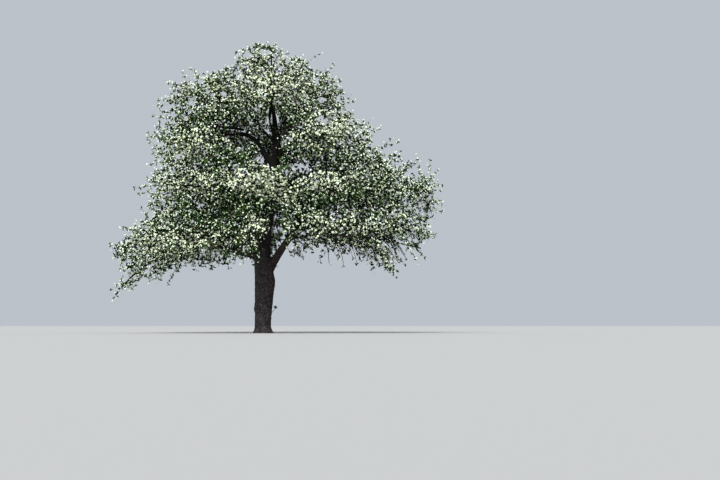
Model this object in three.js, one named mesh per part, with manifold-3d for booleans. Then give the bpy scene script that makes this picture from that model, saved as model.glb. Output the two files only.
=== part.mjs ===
// An old standard pear tree in full blossom, 11.8 m high and 13.5 m across, with a short stout trunk that
// forks low, boughs that rise and arch over, and a broad crown that reaches lower on both sides.
// Millimetres and degrees, +Z up. The origin is the middle of the flat cut under the trunk, at ground level.
// Azimuths run from +X, the tree's widest side, at 0, through +Y, its back, at 90. Its front faces -Y.
import * as THREE from 'three';
import { mergeVertices } from 'three/addons/utils/BufferGeometryUtils.js';
import Module from 'manifold-3d';

const wasm = await Module();
wasm.setup();

// Driving dimensions
const GAP = 0.3; // between two solids that touch
const TRUNK_SIDES = 12;
const TRUNK_RINGS = 18;
const LIMB_SIDES = 5;
const LIMB_STEPS = 5;
const TWIG_SIDES = 3;

// The trunk: height of each station, where its middle lies, and its radius. It runs on as the leader.
const TRUNK = [
  { height: 0, right: 0, back: 0, radius: 318 },
  { height: 120, right: 0, back: 0, radius: 316 },
  { height: 300, right: 0, back: 0, radius: 318 },
  { height: 750, right: 12, back: 5, radius: 338 },
  { height: 1350, right: 40, back: 15, radius: 372 },
  { height: 2030, right: 78, back: 20, radius: 416 },
  { height: 2320, right: 62, back: 20, radius: 402 },
  { height: 2650, right: 20, back: 15, radius: 372 },
  { height: 3050, right: -25, back: 0, radius: 338 },
  { height: 3700, right: 20, back: -30, radius: 308 },
  { height: 4900, right: 190, back: -70, radius: 240 },
  { height: 6200, right: 400, back: -20, radius: 190 },
  { height: 7400, right: 505, back: 60, radius: 142 },
  { height: 8400, right: 480, back: 60, radius: 108 },
  { height: 9400, right: 330, back: 0, radius: 66 },
];
const FLARE = { reach: 120, height: 150, lobes: 5, lobe: 0.12 }; // how the foot spreads above the flat cut
const BURR = { height: 970, azimuth: 184, radius: 55 }; // a healed knot on the left of the trunk

// The crown's reach from the trunk's foot to its left and right, by height
const PROFILE = [
  { height: 1600, left: 5800, right: 4400 },
  { height: 2400, left: 6200, right: 5500 },
  { height: 3200, left: 6350, right: 6700 },
  { height: 4000, left: 6200, right: 7250 },
  { height: 4900, left: 5000, right: 7300 },
  { height: 6000, left: 4800, right: 7350 },
  { height: 7000, left: 4900, right: 6600 },
  { height: 8000, left: 4600, right: 4950 },
  { height: 9000, left: 4200, right: 4100 },
  { height: 10000, left: 3950, right: 3350 },
  { height: 11000, left: 2000, right: 2600 },
  { height: 11800, left: 700, right: 500 },
];
const DEPTH_SHARE = 0.94; // the crown's reach to front and back, as a share of its mean reach sideways

// Rings of masses of foliage. turn is the first one's azimuth, depth its size outwards, sag how much lower
// the ring hangs on the left and right, leave the heights on the trunk where its boughs leave, rise and
// arrive the slopes at which a bough leaves and ends, tilt the slope of the mass itself, and paired says
// that every second bough forks from the one before it. radius is given where boughs are stouter than usual.
const TIERS = [
  {
    name: 'skirt', count: 8, turn: 0, bottom: 2900, top: 5000, depth: 3800, sag: 800,
    leave: [3200, 4150], rise: 38, arrive: -14, tilt: -5, paired: true,
  },
  {
    name: 'lower', count: 7, turn: 5.8, bottom: 4700, top: 6900, depth: 3900, sag: 0,
    leave: [4350, 5350], rise: 46, arrive: 4, tilt: 0, paired: true,
  },
  {
    name: 'upper', count: 5, turn: 18, bottom: 6700, top: 8900, depth: 3700, sag: 0,
    leave: [5700, 6650], rise: 66, arrive: -12, tilt: 6, paired: false, radius: 105,
  },
  {
    name: 'shoulder', count: 4, turn: 20, bottom: 8500, top: 10700, depth: 3300, sag: 0,
    leave: [7600, 6900], rise: 68, arrive: 40, tilt: 16, paired: false, radius: 90,
  },
];
const OVERLAP = 1.3; // how far the spaces of neighbouring masses run into each other before they share a border
const PAIR_SHARE = 0.32; // where the second bough of a pair forks from the first

// The second stem, which leaves the trunk's fork and carries the boughs on the tree's right
const FORK = { height: 2200, azimuth: -4, rise: 60, radius: 205, carries: 0.62, shares: [0.34, 0.5, 0.64, 0.42] };

// The low bough on the left, which runs out level and then weeps to the crown's lowest tip
const LOW = { height: 3060, azimuth: 183, rise: 14, arrive: -38, reach: 4350, tip: 2950 };
const LOW_MASS = { azimuth: 180, distance: 5150, height: 2330, depth: 2000, width: 2200, tall: 1600, tilt: -40 };

// Masses between the trunk and the rings, each with its stem on the trunk
const INNER = [
  { azimuth: -42, distance: 1800, height: 5900, leave: 5450, size: 2700 },
  { azimuth: 62, distance: 1800, height: 5900, leave: 5450, size: 2700 },
  { azimuth: -28, distance: 1500, height: 7700, leave: 7000, size: 2300 },
];
const CREST = { right: 300, back: 0, height: 10850, width: 4800, tall: 2050 }; // the mass on the leader's tip

// Boughs: radius where a mass begins, how they thicken towards the trunk, and how crooked they are
const LIMB = { tip: 38, taper: 0.018, collar: 0.22, crook: 0.03 };

// Inside a mass: the stem, then each generation of twigs. near and far are how far out in the mass the
// twigs of a generation end, as shares of its size, and from is where they may leave an older twig.
const SQUARE = 3; // how boxy the space of a mass is: 2 is an ellipsoid, more fills its corners
const STEM = { base: 38, tip: 16, bends: 2, reach: 0.72 };
const GENERATIONS = [
  { count: 3, near: 0.55, far: 0.8, base: 22, tip: 13, bends: 2, from: [0.12, 0.3, 0.5, 0.68] },
  { count: 2, near: 0.5, far: 0.98, base: 16, tip: 10, bends: 1, from: [0.3, 0.5, 0.7, 0.85] },
];
const MARGIN = 8; // kept clear between a mass and its border, and between its twigs and the boughs
const BACKWARD = 0.9; // how strongly a twig avoids turning back against the twig that bears it
const SPRAYS = { perMetre: 7.25, near: 0.6, far: 0.99, from: [0.35, 0.55, 0.75, 0.9, 1], facing: 0.35 };
const SPRAY = { length: 1480, width: 1120, thick: 120 };
const TUFT = { length: 1000, width: 860, thick: 480, share: 0.25 };
const SUNK = 0.35; // how far a root runs on past its twig's axis, as a share of the twig's radius
const WIDEST = 0.34; // where along a spray it is widest
const SPRAY_SCALES = [1, 0.82, 0.66, 0.5]; // a spray that would leave its mass's space is made smaller, or left out
const SPROUT = { height: 730, azimuth: 0, rise: 55, length: 390, base: 11, tip: 6 }; // a shoot low on the trunk

const vector = (x, y, z) => new THREE.Vector3(x, y, z);
const radians = THREE.MathUtils.degToRad;
const along = (azimuth, slope) => vector(
  Math.cos(radians(azimuth)) * Math.cos(radians(slope)),
  Math.sin(radians(azimuth)) * Math.cos(radians(slope)),
  Math.sin(radians(slope)),
);
const share = (value) => value - Math.floor(value);
const GOLDEN = 0.6180339887;

// A small repeatable source of numbers from 0 to 1
function seeded(seed) {
  let state = seed;
  return () => {
    state = (state * 1664525 + 1013904223) % 4294967296;
    return state / 4294967296;
  };
}

// A value read between the rows of a table, by height
function read(table, key, height) {
  const last = table.length - 1;
  if (height <= table[0].height) return table[0][key];
  if (height >= table[last].height) return table[last][key];
  const i = table.findIndex((row) => row.height > height);
  const t = (height - table[i - 1].height) / (table[i].height - table[i - 1].height);
  return THREE.MathUtils.lerp(table[i - 1][key], table[i][key], t);
}

// How far the crown reaches from the trunk at a height and azimuth
function crownReach(height, azimuth) {
  const left = read(PROFILE, 'left', height);
  const right = read(PROFILE, 'right', height);
  const cos = Math.cos(radians(azimuth));
  const sin = Math.sin(radians(azimuth));
  const depth = DEPTH_SHARE * (left + right) / 2;
  return 1 / Math.hypot(cos / (cos > 0 ? right : left), sin / depth);
}

// A closed tube along a path, made from a cylinder: radiusAt gives its radius by share of the path and angle
function tube(path, radiusAt, sides, steps) {
  const geometry = new THREE.CylinderGeometry(1, 1, 1, sides, steps);
  geometry.deleteAttribute('normal');
  geometry.deleteAttribute('uv');
  const frames = path.computeFrenetFrames(steps);
  const position = geometry.getAttribute('position');
  for (let i = 0; i < position.count; i++) {
    const t = position.getY(i) + 0.5;
    const ring = Math.round(t * steps);
    const x = position.getX(i);
    const z = position.getZ(i);
    const radius = Math.hypot(x, z) > 0.5 ? radiusAt(t, Math.atan2(z, x)) : 0;
    const angle = Math.atan2(z, x);
    const point = path.getPointAt(t)
      .addScaledVector(frames.binormals[ring], radius * Math.cos(angle))
      .addScaledVector(frames.normals[ring], radius * Math.sin(angle));
    position.setXYZ(i, point.x, point.y, point.z);
  }
  return geometry;
}

function solid(geometry) {
  const merged = mergeVertices(geometry, 1e-4);
  return new wasm.Manifold(new wasm.Mesh({
    numProp: 3,
    vertProperties: new Float32Array(merged.attributes.position.array),
    triVerts: new Uint32Array(merged.index.array),
  }));
}

// The largest body of a solid, with its sealed hollows filled and loose scraps dropped
function whole(made) {
  const bodies = made.decompose();
  return bodies.reduce((best, body) => (body.volume() > best.volume() ? body : best));
}

function geometryOf(made) {
  const mesh = made.getMesh();
  const geometry = new THREE.BufferGeometry();
  const points = new Float32Array(mesh.numVert * 3);
  for (let i = 0; i < mesh.numVert; i++) {
    points.set(mesh.vertProperties.subarray(i * mesh.numProp, i * mesh.numProp + 3), i * 3);
  }
  geometry.setAttribute('position', new THREE.BufferAttribute(points, 3));
  geometry.setIndex(new THREE.BufferAttribute(new Uint32Array(mesh.triVerts), 1));
  geometry.computeVertexNormals();
  return geometry;
}

// Trunk
const trunkPath = new THREE.CatmullRomCurve3(
  TRUNK.map((station) => vector(station.right, station.back, station.height)), false, 'catmullrom', 0.5,
);

function trunkRadius(height, angle) {
  const foot = Math.exp(-height / FLARE.height);
  const lobes = 1 + FLARE.lobe * foot * Math.cos(FLARE.lobes * angle);
  return (read(TRUNK, 'radius', height) + FLARE.reach * foot) * lobes;
}

const trunk = {
  name: 'trunk',
  path: trunkPath,
  radiusAt: (t) => trunkRadius(trunkPath.getPoint(t).z, 0),
};

// The trunk's rings are level, so that its foot is one flat face at ground level
function trunkSolid(grow) {
  const geometry = new THREE.CylinderGeometry(1, 1, 1, TRUNK_SIDES, TRUNK_RINGS);
  geometry.deleteAttribute('normal');
  geometry.deleteAttribute('uv');
  const position = geometry.getAttribute('position');
  for (let i = 0; i < position.count; i++) {
    const t = position.getY(i) + 0.5;
    const middle = trunkPath.getPoint(t);
    const x = position.getX(i);
    const z = position.getZ(i);
    const angle = Math.atan2(-z, x);
    const radius = Math.hypot(x, z) > 0.5 ? trunkRadius(middle.z, angle) + grow : 0;
    position.setXYZ(i, middle.x + radius * Math.cos(angle), middle.y + radius * Math.sin(angle), middle.z);
  }
  const burrAt = trunkPath.getPoint(trunkShareAt(BURR.height));
  const burr = new THREE.IcosahedronGeometry(BURR.radius + grow, 0);
  burr.deleteAttribute('normal');
  burr.deleteAttribute('uv');
  const out = along(BURR.azimuth, 0).multiplyScalar(trunkRadius(BURR.height, Math.PI));
  burr.translate(burrAt.x + out.x, burrAt.y + out.y, burrAt.z);
  return solid(geometry).add(solid(burr));
}

// The share of the trunk's path that lies at a height
function trunkShareAt(height) {
  let low = 0;
  let high = 1;
  for (let i = 0; i < 40; i++) {
    const middle = (low + high) / 2;
    if (trunkPath.getPoint(middle).z < height) low = middle;
    else high = middle;
  }
  return (low + high) / 2;
}

// Masses of foliage: where each lies and how large its space is
function makeMass(name, centre, azimuth, tilt, depth, width, tall) {
  const outward = along(azimuth, tilt);
  const sideways = along(azimuth + 90, 0);
  return {
    name,
    centre,
    azimuth,
    axes: [outward, sideways, outward.clone().cross(sideways)],
    radii: [depth / 2, width / 2, tall / 2],
    size: Math.cbrt((depth * width * tall) / 8),
  };
}

function tierMass(tier, index) {
  const azimuth = tier.turn + (index * 360) / tier.count;
  const bottom = tier.bottom - tier.sag * Math.cos(radians(azimuth)) ** 2;
  const height = (bottom + tier.top) / 2;
  const distance = crownReach(height, azimuth) - tier.depth / 2;
  const width = (OVERLAP * 2 * Math.PI * Math.max(distance, tier.depth * 0.72)) / tier.count;
  const tall = OVERLAP * (tier.top - bottom);
  const centre = along(azimuth, 0).multiplyScalar(distance).setZ(height);
  return makeMass(`${tier.name}_${index + 1}`, centre, azimuth, tier.tilt, tier.depth, width, tall);
}

// Boughs: a route that leaves its bearer in one direction and arrives in another, a little crooked
function route(start, leaving, end, arriving, random) {
  const span = start.distanceTo(end);
  const arc = new THREE.CubicBezierCurve3(
    start,
    start.clone().addScaledVector(leaving, span * 0.4),
    end.clone().addScaledVector(arriving, -span * 0.35),
    end,
  );
  const points = arc.getPoints(5);
  for (const point of points.slice(1, -1)) {
    const offset = vector(random() - 0.5, random() - 0.5, random() - 0.5);
    point.addScaledVector(offset, 2 * LIMB.crook * span);
  }
  return new THREE.CatmullRomCurve3(points, false, 'catmullrom', 0.5);
}

function makeLimb(name, bearer, path, base) {
  const length = path.getLength();
  const thick = base ?? LIMB.tip + LIMB.taper * length;
  const radiusAt = (t) => {
    const collar = 1 + LIMB.collar * Math.exp(-t * length / 180);
    return THREE.MathUtils.lerp(thick, LIMB.tip, t ** 0.85) * collar;
  };
  return { name, bearer, path, radiusAt, length };
}

const limbs = [];
const masses = [];

function growBough(mass, bearer, start, leaving, arrive, base) {
  const arriving = along(mass.azimuth, arrive);
  const end = mass.centre.clone().addScaledVector(arriving, -0.86 * mass.radii[0]);
  const random = seeded(97 + limbs.length * 7919);
  const limb = makeLimb(`bough_${mass.name}`, bearer, route(start, leaving, end, arriving, random), base);
  limbs.push(limb);
  mass.bearer = limb;
  masses.push(mass);
  return limb;
}

function growBoughs() {
  const forkMass = tierMass(TIERS[1], 0);
  const forkStart = trunkPath.getPoint(trunkShareAt(FORK.height));
  const fork = growBough(forkMass, trunk, forkStart, along(FORK.azimuth, FORK.rise), TIERS[1].arrive, FORK.radius);
  let carried = 0;
  for (const tier of TIERS) {
    let partner = null;
    for (let index = 0; index < tier.count; index++) {
      const mass = tierMass(tier, index);
      if (mass.name === forkMass.name) continue;
      const onFork = tier.bottom < TIERS[2].bottom && Math.cos(radians(mass.azimuth)) > FORK.carries;
      if (onFork || partner) {
        const bearer = onFork ? fork : partner;
        const t = onFork ? FORK.shares[carried++] : PAIR_SHARE;
        const start = bearer.path.getPoint(t);
        const onward = bearer.path.getTangent(t);
        const across = mass.centre.clone().sub(start).normalize();
        growBough(mass, bearer, start, onward.multiplyScalar(0.5).add(across).normalize(), tier.arrive);
        if (!onFork) partner = null;
      } else {
        const level = share((index + 1) * GOLDEN);
        const height = THREE.MathUtils.lerp(tier.leave[0], tier.leave[1], level);
        const start = trunkPath.getPoint(trunkShareAt(height));
        const leaving = along(mass.azimuth, tier.rise);
        const limb = growBough(mass, trunk, start, leaving, tier.arrive, tier.radius);
        partner = tier.paired ? limb : null;
      }
    }
  }
}

function growLowBough() {
  const mass = makeMass(
    'low_left', along(LOW_MASS.azimuth, 0).multiplyScalar(LOW_MASS.distance).setZ(LOW_MASS.height),
    LOW_MASS.azimuth, LOW_MASS.tilt, LOW_MASS.depth, LOW_MASS.width, LOW_MASS.tall,
  );
  const start = trunkPath.getPoint(trunkShareAt(LOW.height));
  const end = along(LOW.azimuth, 0).multiplyScalar(LOW.reach).setZ(LOW.tip);
  const path = route(start, along(LOW.azimuth, LOW.rise), end, along(LOW.azimuth, LOW.arrive), seeded(11));
  const limb = makeLimb('bough_low_left', trunk, path);
  limbs.push(limb);
  mass.bearer = limb;
  masses.push(mass);
}

// Masses whose stem stands on the trunk itself
function addTrunkMasses() {
  INNER.forEach((inner, index) => {
    const centre = along(inner.azimuth, 0).multiplyScalar(inner.distance).setZ(inner.height);
    const mass = makeMass(`inner_${index + 1}`, centre, inner.azimuth, 20, inner.size, inner.size, inner.size * 0.8);
    mass.leave = trunkPath.getPoint(trunkShareAt(inner.leave));
    masses.push(mass);
  });
  const crest = makeMass('crest', vector(CREST.right, CREST.back, CREST.height), 90, 0, CREST.width, CREST.width, CREST.tall);
  crest.bearer = trunk;
  masses.push(crest);
}

const boxyLength = (values) => values.reduce((sum, value) => sum + Math.abs(value) ** SQUARE, 0) ** (1 / SQUARE);

// A point of a mass's space, from a sequence that spreads its points evenly
function spreadPoint(mass, n, near, far) {
  const u = share(0.5 + n * 0.8191725134 + mass.phase);
  const v = share(0.5 + n * 0.6710436067 + mass.phase * 2);
  const w = share(0.5 + n * 0.5497004779 + mass.phase * 3);
  const out = near + (far - near) * Math.sqrt(u);
  const rise = 2 * v - 1;
  const level = Math.sqrt(1 - rise * rise);
  const local = [level * Math.cos(2 * Math.PI * w), level * Math.sin(2 * Math.PI * w), rise];
  const reach = out / boxyLength(local);
  const point = mass.centre.clone();
  local.forEach((value, i) => point.addScaledVector(mass.axes[i], value * reach * mass.radii[i]));
  return point;
}

// Whether a point lies in a mass's own space: inside its rounded box, and nearer to it than to its neighbours
// by a margin
function holds(mass, point, margin) {
  const from = point.clone().sub(mass.centre);
  if (boxyLength(mass.axes.map((axis, i) => from.dot(axis) / mass.radii[i])) > 1) return false;
  const own = from.lengthSq() - mass.size ** 2;
  return masses.every((other) => {
    if (other === mass) return true;
    const theirs = point.distanceToSquared(other.centre) - other.size ** 2;
    return theirs - own >= 2 * margin * mass.centre.distanceTo(other.centre);
  });
}

// A twig from a joint on an older twig to its target: it sets off partly along that twig, then turns
function twigPath(joint, target) {
  const reach = target.clone().sub(joint.point);
  const middle = joint.direction.clone().add(reach.clone().normalize()).normalize();
  return new THREE.QuadraticBezierCurve3(
    joint.point, joint.point.clone().addScaledVector(middle, reach.length() * 0.5), target,
  );
}

// Places along twigs where something can grow, on their straight stretches as built
function jointsOf(twigs, shares) {
  return twigs.flatMap((twig) => shares.map((t) => {
    const stretch = Math.min(Math.floor(t * twig.bends), twig.bends - 1);
    const from = twig.path.getPointAt(stretch / twig.bends);
    const to = twig.path.getPointAt((stretch + 1) / twig.bends);
    const point = from.clone().lerp(to, t * twig.bends - stretch);
    const radius = THREE.MathUtils.lerp(twig.base, twig.tip, t);
    return { twig, point, direction: to.sub(from).normalize(), radius, used: false };
  }));
}

// The unused joint that reaches a target by the shortest way, counted longer where it has to turn back
function bestJoint(joints, target) {
  const cost = (joint) => {
    const reach = target.clone().sub(joint.point);
    const length = reach.length();
    return length * (1 + BACKWARD * (1 - reach.dot(joint.direction) / length));
  };
  let best = null;
  for (const joint of joints) {
    if (!joint.used && (!best || cost(joint) < cost(best))) best = joint;
  }
  return best;
}

function twigSolid({ path, base, tip, bends }) {
  return solid(tube(path, (t) => THREE.MathUtils.lerp(base, tip, t), TWIG_SIDES, bends));
}

function clearOf(made, others) {
  return others.every((other) => made.intersect(other).isEmpty());
}

function growTwigs(mass) {
  const start = mass.leave ?? mass.bearer.path.getPoint(1);
  const far = mass.centre.clone().addScaledVector(mass.axes[0], STEM.reach * mass.radii[0]);
  if (mass.name === 'crest') far.copy(mass.centre).setZ(mass.centre.z + STEM.reach * mass.radii[2]);
  let heading = mass.leave ? along(mass.azimuth, 50) : mass.bearer.path.getTangent(1);
  if (mass.bearer === trunk) heading = vector(0, 0, 1);
  const clearStart = mass.leave ? start : start.clone().addScaledVector(heading, GAP);
  const stem = {
    path: new THREE.QuadraticBezierCurve3(
      clearStart, clearStart.clone().addScaledVector(heading, clearStart.distanceTo(far) * 0.45), far,
    ),
    ...STEM,
  };
  mass.twigs = [{ ...stem, made: twigSolid(stem) }];
  let n = 0;
  for (const generation of GENERATIONS) {
    const joints = jointsOf(mass.twigs, generation.from);
    const grown = [];
    for (let tries = 0; grown.length < generation.count && tries < generation.count * 12; tries++) {
      const target = spreadPoint(mass, n++, generation.near, generation.far);
      if (!holds(mass, target, MARGIN + generation.base)) continue;
      const joint = bestJoint(joints, target);
      if (!joint) break;
      const path = twigPath(joint, target);
      if (!path.getPoints(6).every((point) => holds(mass, point, MARGIN + generation.base))) continue;
      const base = Math.min(generation.base, joint.radius * 0.6);
      const twig = { ...generation, base, tip: Math.min(generation.tip, base), path };
      const made = twigSolid(twig);
      if (!clearOf(made, barriers)) continue;
      joint.used = true;
      grown.push({ ...twig, made });
    }
    mass.twigs.push(...grown);
  }
}

// A flat-sided spray of leaves, or a full tuft of blossom: eight faces from its root to its tip
function sprayGeometry(root, direction, up, form) {
  const geometry = new THREE.OctahedronGeometry(1, 0);
  geometry.deleteAttribute('normal');
  geometry.deleteAttribute('uv');
  const side = up.clone().cross(direction).normalize();
  const over = direction.clone().cross(side).normalize();
  const base = root.clone().addScaledVector(direction, -form.sunk);
  const position = geometry.getAttribute('position');
  for (let i = 0; i < position.count; i++) {
    const lengthwise = position.getX(i);
    const reach = lengthwise < 0 ? WIDEST * (1 + lengthwise) : WIDEST + (1 - WIDEST) * lengthwise;
    const point = base.clone()
      .addScaledVector(direction, reach * (form.length + form.sunk))
      .addScaledVector(side, position.getY(i) * form.width / 2)
      .addScaledVector(over, position.getZ(i) * form.thick / 2);
    position.setXYZ(i, point.x, point.y, point.z);
  }
  return geometry;
}

function staysInside(mass, geometry) {
  const position = geometry.getAttribute('position');
  for (let i = 0; i < position.count; i++) {
    if (!holds(mass, new THREE.Vector3().fromBufferAttribute(position, i), MARGIN)) return false;
  }
  return true;
}

// Sprays stand all through a mass's space, each on the twig that reaches its place best, facing outwards
function addSprays(mass, random) {
  const joints = jointsOf(mass.twigs, SPRAYS.from);
  const count = Math.round((SPRAYS.perMetre * mass.size) / 1000);
  const sprays = [];
  for (let n = 0; sprays.length < count && n < count * 12; n++) {
    const target = spreadPoint(mass, n + 500, SPRAYS.near, SPRAYS.far);
    const form = random() < TUFT.share ? TUFT : SPRAY;
    const tumble = vector(random() - 0.5, random() - 0.5, random() - 0.5);
    const joint = holds(mass, target, MARGIN) ? bestJoint(joints, target) : null;
    if (!joint) continue;
    const others = mass.twigs.filter((twig) => twig !== joint.twig).map((twig) => twig.made);
    const direction = target.clone().sub(joint.point).normalize();
    const up = target.clone().sub(mass.centre).normalize().multiplyScalar(SPRAYS.facing).add(tumble);
    for (const scale of SPRAY_SCALES) {
      const { length, width, thick } = form;
      const sunk = SUNK * joint.radius;
      const scaled = { length: length * scale, width: width * scale, thick: thick * scale, sunk };
      const geometry = sprayGeometry(joint.point, direction, up, scaled);
      if (!staysInside(mass, geometry)) continue;
      const spray = solid(geometry);
      if (!clearOf(spray, [...sprays, ...others, ...barriers])) continue;
      joint.used = true;
      sprays.push(spray);
      break;
    }
  }
  return sprays;
}

function massSolid(mass) {
  const pieces = [...mass.twigs.map((twig) => twig.made), ...mass.sprays];
  let made = pieces.reduce((sum, piece) => sum.add(piece));
  if (mass.leave) made = made.subtract(trunkSolid(GAP));
  return whole(made);
}

function limbSolid(limb, grow) {
  return solid(tube(limb.path, (t) => limb.radiusAt(t) + grow, LIMB_SIDES, LIMB_STEPS));
}

// The shoot low on the trunk, with a rosette of small leaves at its tip
function sproutSolid() {
  const start = trunkPath.getPoint(trunkShareAt(SPROUT.height));
  start.addScaledVector(along(SPROUT.azimuth, 0), trunkRadius(SPROUT.height, 0) * 0.8);
  const heading = along(SPROUT.azimuth, SPROUT.rise);
  const path = new THREE.LineCurve3(start, start.clone().addScaledVector(heading, SPROUT.length));
  const radiusAt = (t) => THREE.MathUtils.lerp(SPROUT.base, SPROUT.tip, t);
  let made = solid(tube(path, radiusAt, TWIG_SIDES, 1));
  const leaf = { length: 85, width: 46, thick: 8, sunk: 4 };
  for (let i = 0; i < 3; i++) {
    const direction = along(i * 120, 28);
    made = made.add(solid(sprayGeometry(path.getPoint(0.985), direction, vector(0, 0, 1), leaf)));
  }
  return whole(made.subtract(trunkSolid(GAP)));
}

const BARK = new THREE.MeshStandardMaterial({ color: 0x3b3531, roughness: 0.95, metalness: 0 });
const BLOSSOM = new THREE.MeshStandardMaterial({ color: 0xd9dcc6, roughness: 0.8, metalness: 0 });
const LEAF = new THREE.MeshStandardMaterial({ color: 0x6d8249, roughness: 0.75, metalness: 0 });

const tree = new THREE.Group();
tree.name = 'pear_tree';

function addMesh(name, made, material) {
  const mesh = new THREE.Mesh(geometryOf(made), material);
  mesh.name = name;
  tree.add(mesh);
}

growBoughs();
growLowBough();
addTrunkMasses();
const barriers = [trunkSolid(MARGIN), ...limbs.map((limb) => limbSolid(limb, MARGIN))];
masses.forEach((mass, index) => {
  mass.phase = share((index + 1) * GOLDEN);
});

addMesh('trunk', trunkSolid(0), BARK);
for (const limb of limbs) {
  const cutter = limb.bearer === trunk ? trunkSolid(GAP) : limbSolid(limb.bearer, GAP);
  addMesh(limb.name, whole(limbSolid(limb, 0).subtract(cutter)), BARK);
}
masses.forEach((mass, index) => {
  growTwigs(mass);
  mass.sprays = addSprays(mass, seeded(4001 + index * 104729));
  addMesh(`foliage_${mass.name}`, massSolid(mass), BLOSSOM);
});
addMesh('trunk_sprout', sproutSolid(), LEAF);

export default tree;
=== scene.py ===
# An old pear tree in full blossom. Metres and degrees, +Z up, front to -Y. Trunk, boughs and masses follow
# the solids' own sizes and rules; each mass is grown on to finer twigs, which carry blossom and leaves.
import math
from collections import namedtuple
from types import SimpleNamespace as Values

import bmesh
import bpy
import numpy as np
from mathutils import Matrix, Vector, noise


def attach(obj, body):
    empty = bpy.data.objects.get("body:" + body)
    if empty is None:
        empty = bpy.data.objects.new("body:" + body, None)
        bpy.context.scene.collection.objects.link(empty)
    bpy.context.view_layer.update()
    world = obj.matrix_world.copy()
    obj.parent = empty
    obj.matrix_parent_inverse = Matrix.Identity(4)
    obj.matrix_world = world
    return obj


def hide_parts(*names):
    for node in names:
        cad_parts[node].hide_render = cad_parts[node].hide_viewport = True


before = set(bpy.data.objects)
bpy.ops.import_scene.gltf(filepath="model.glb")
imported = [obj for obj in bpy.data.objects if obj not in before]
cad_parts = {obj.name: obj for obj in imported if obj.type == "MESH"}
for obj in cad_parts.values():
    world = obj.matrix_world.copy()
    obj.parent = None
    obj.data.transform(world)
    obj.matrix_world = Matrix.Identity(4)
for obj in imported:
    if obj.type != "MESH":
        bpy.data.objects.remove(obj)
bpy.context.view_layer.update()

# The trunk: height of each station, where its middle lies to the right and back, and its radius
TRUNK = [
    (0.0, 0.0, 0.0, 0.318), (0.12, 0.0, 0.0, 0.316), (0.3, 0.0, 0.0, 0.318),
    (0.75, 0.012, 0.005, 0.338), (1.35, 0.04, 0.015, 0.372), (2.03, 0.078, 0.02, 0.416),
    (2.32, 0.062, 0.02, 0.402), (2.65, 0.02, 0.015, 0.372), (3.05, -0.025, 0.0, 0.338),
    (3.7, 0.02, -0.03, 0.308), (4.9, 0.19, -0.07, 0.24), (6.2, 0.4, -0.02, 0.19),
    (7.4, 0.505, 0.06, 0.142), (8.4, 0.48, 0.06, 0.108), (9.4, 0.33, 0.0, 0.066),
]
FLARE = Values(reach=0.12, height=0.15, lobes=5, lobe=0.12)

# The burr low on the trunk: a swelling with a hollow in its middle, each by height and width
BURR = Values(height=0.97, azimuth=184, rings=[(0.05, 0.075), (-0.035, 0.028)])

# The crown's reach from the trunk's foot to its left and right, by height
PROFILE = [
    (1.6, 5.8, 4.4), (2.4, 6.2, 5.5), (3.2, 6.35, 6.7), (4.0, 6.2, 7.25),
    (4.9, 5.0, 7.3), (6.0, 4.8, 7.35), (7.0, 4.9, 6.6), (8.0, 4.6, 4.95),
    (9.0, 4.2, 4.1), (10.0, 3.95, 3.35), (11.0, 2.0, 2.6), (11.8, 0.7, 0.5),
]
DEPTH_SHARE = 0.94

# The rings of boughs: the heights and depth of their masses, where they leave the trunk, and their slopes
Tier = namedtuple("Tier", "name count turn bottom top depth sag leave rise arrive tilt paired radius")
TIERS = [
    Tier("skirt", 8, 0, 2.9, 5.0, 3.8, 0.8, (3.2, 4.15), 38, -14, -5, True, None),
    Tier("lower", 7, 5.8, 4.7, 6.9, 3.9, 0, (4.35, 5.35), 46, 4, 0, True, None),
    Tier("upper", 5, 18, 6.7, 8.9, 3.7, 0, (5.7, 6.65), 66, -12, 6, False, 0.105),
    Tier("shoulder", 4, 20, 8.5, 10.7, 3.3, 0, (7.6, 6.9), 68, 40, 16, False, 0.09),
]
OVERLAP = 1.3
PAIR_SHARE = 0.32

# The right leg of the low fork, and the low bough to the left with its mass
FORK = Values(height=2.2, azimuth=-4, rise=60, radius=0.205, carries=0.62, shares=(0.34, 0.5, 0.64, 0.42))
LOW = Values(height=3.06, azimuth=183, rise=14, arrive=-38, reach=4.35, tip=2.95)
LOW_MASS = Values(azimuth=180, distance=5.15, height=2.33, tilt=-40, size=(2.0, 2.2, 1.6))

# The masses on the trunk itself: azimuth, distance, height, height at which the stem leaves, size
INNER = [
    (-42, 1.8, 5.9, 5.45, 2.7), (62, 1.8, 5.9, 5.45, 2.7),
    (-28, 1.5, 7.7, 7.0, 2.3),
]
CREST = Values(right=0.3, back=0.0, height=10.85, width=4.8, tall=2.05)
LIMB = Values(tip=0.038, taper=0.018, collar=0.22, crook=0.03)
SAMPLES = 201

# Inside a mass: the stem, the two generations of twigs that the solids have, and the finer ones, which have
# a density in place of a count. longest caps the length, arch is the rise before the droop to the end.
SQUARE = 3
STEM = Values(base=0.038, tip=0.016, reach=0.72)
Generation = namedtuple("Generation", "count density near far base tip longest arch turn_cost shares")
FINE = (0.2, 0.35, 0.5, 0.65, 0.8, 0.95)
GENERATIONS = [
    Generation(3, 0, 0.55, 0.8, 0.022, 0.013, 9, 0, 0.9, (0.12, 0.3, 0.5, 0.68)),
    Generation(2, 0, 0.5, 0.98, 0.016, 0.01, 9, 0, 0.9, (0.3, 0.5, 0.7, 0.85)),
    Generation(0, 0.75, 0.3, 0.97, 0.012, 0.006, 2.2, 0.1, 2.2, FINE),
    Generation(0, 2.6, 0.25, 0.99, 0.0075, 0.0045, 1.5, 0.14, 2.2, FINE),
    Generation(0, 10.5, 0.2, 1.0, 0.005, 0.0025, 1.0, 0.12, 2.2, FINE),
]
MARGIN = 0.008
ARCH_BELOW = 6.0
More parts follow.
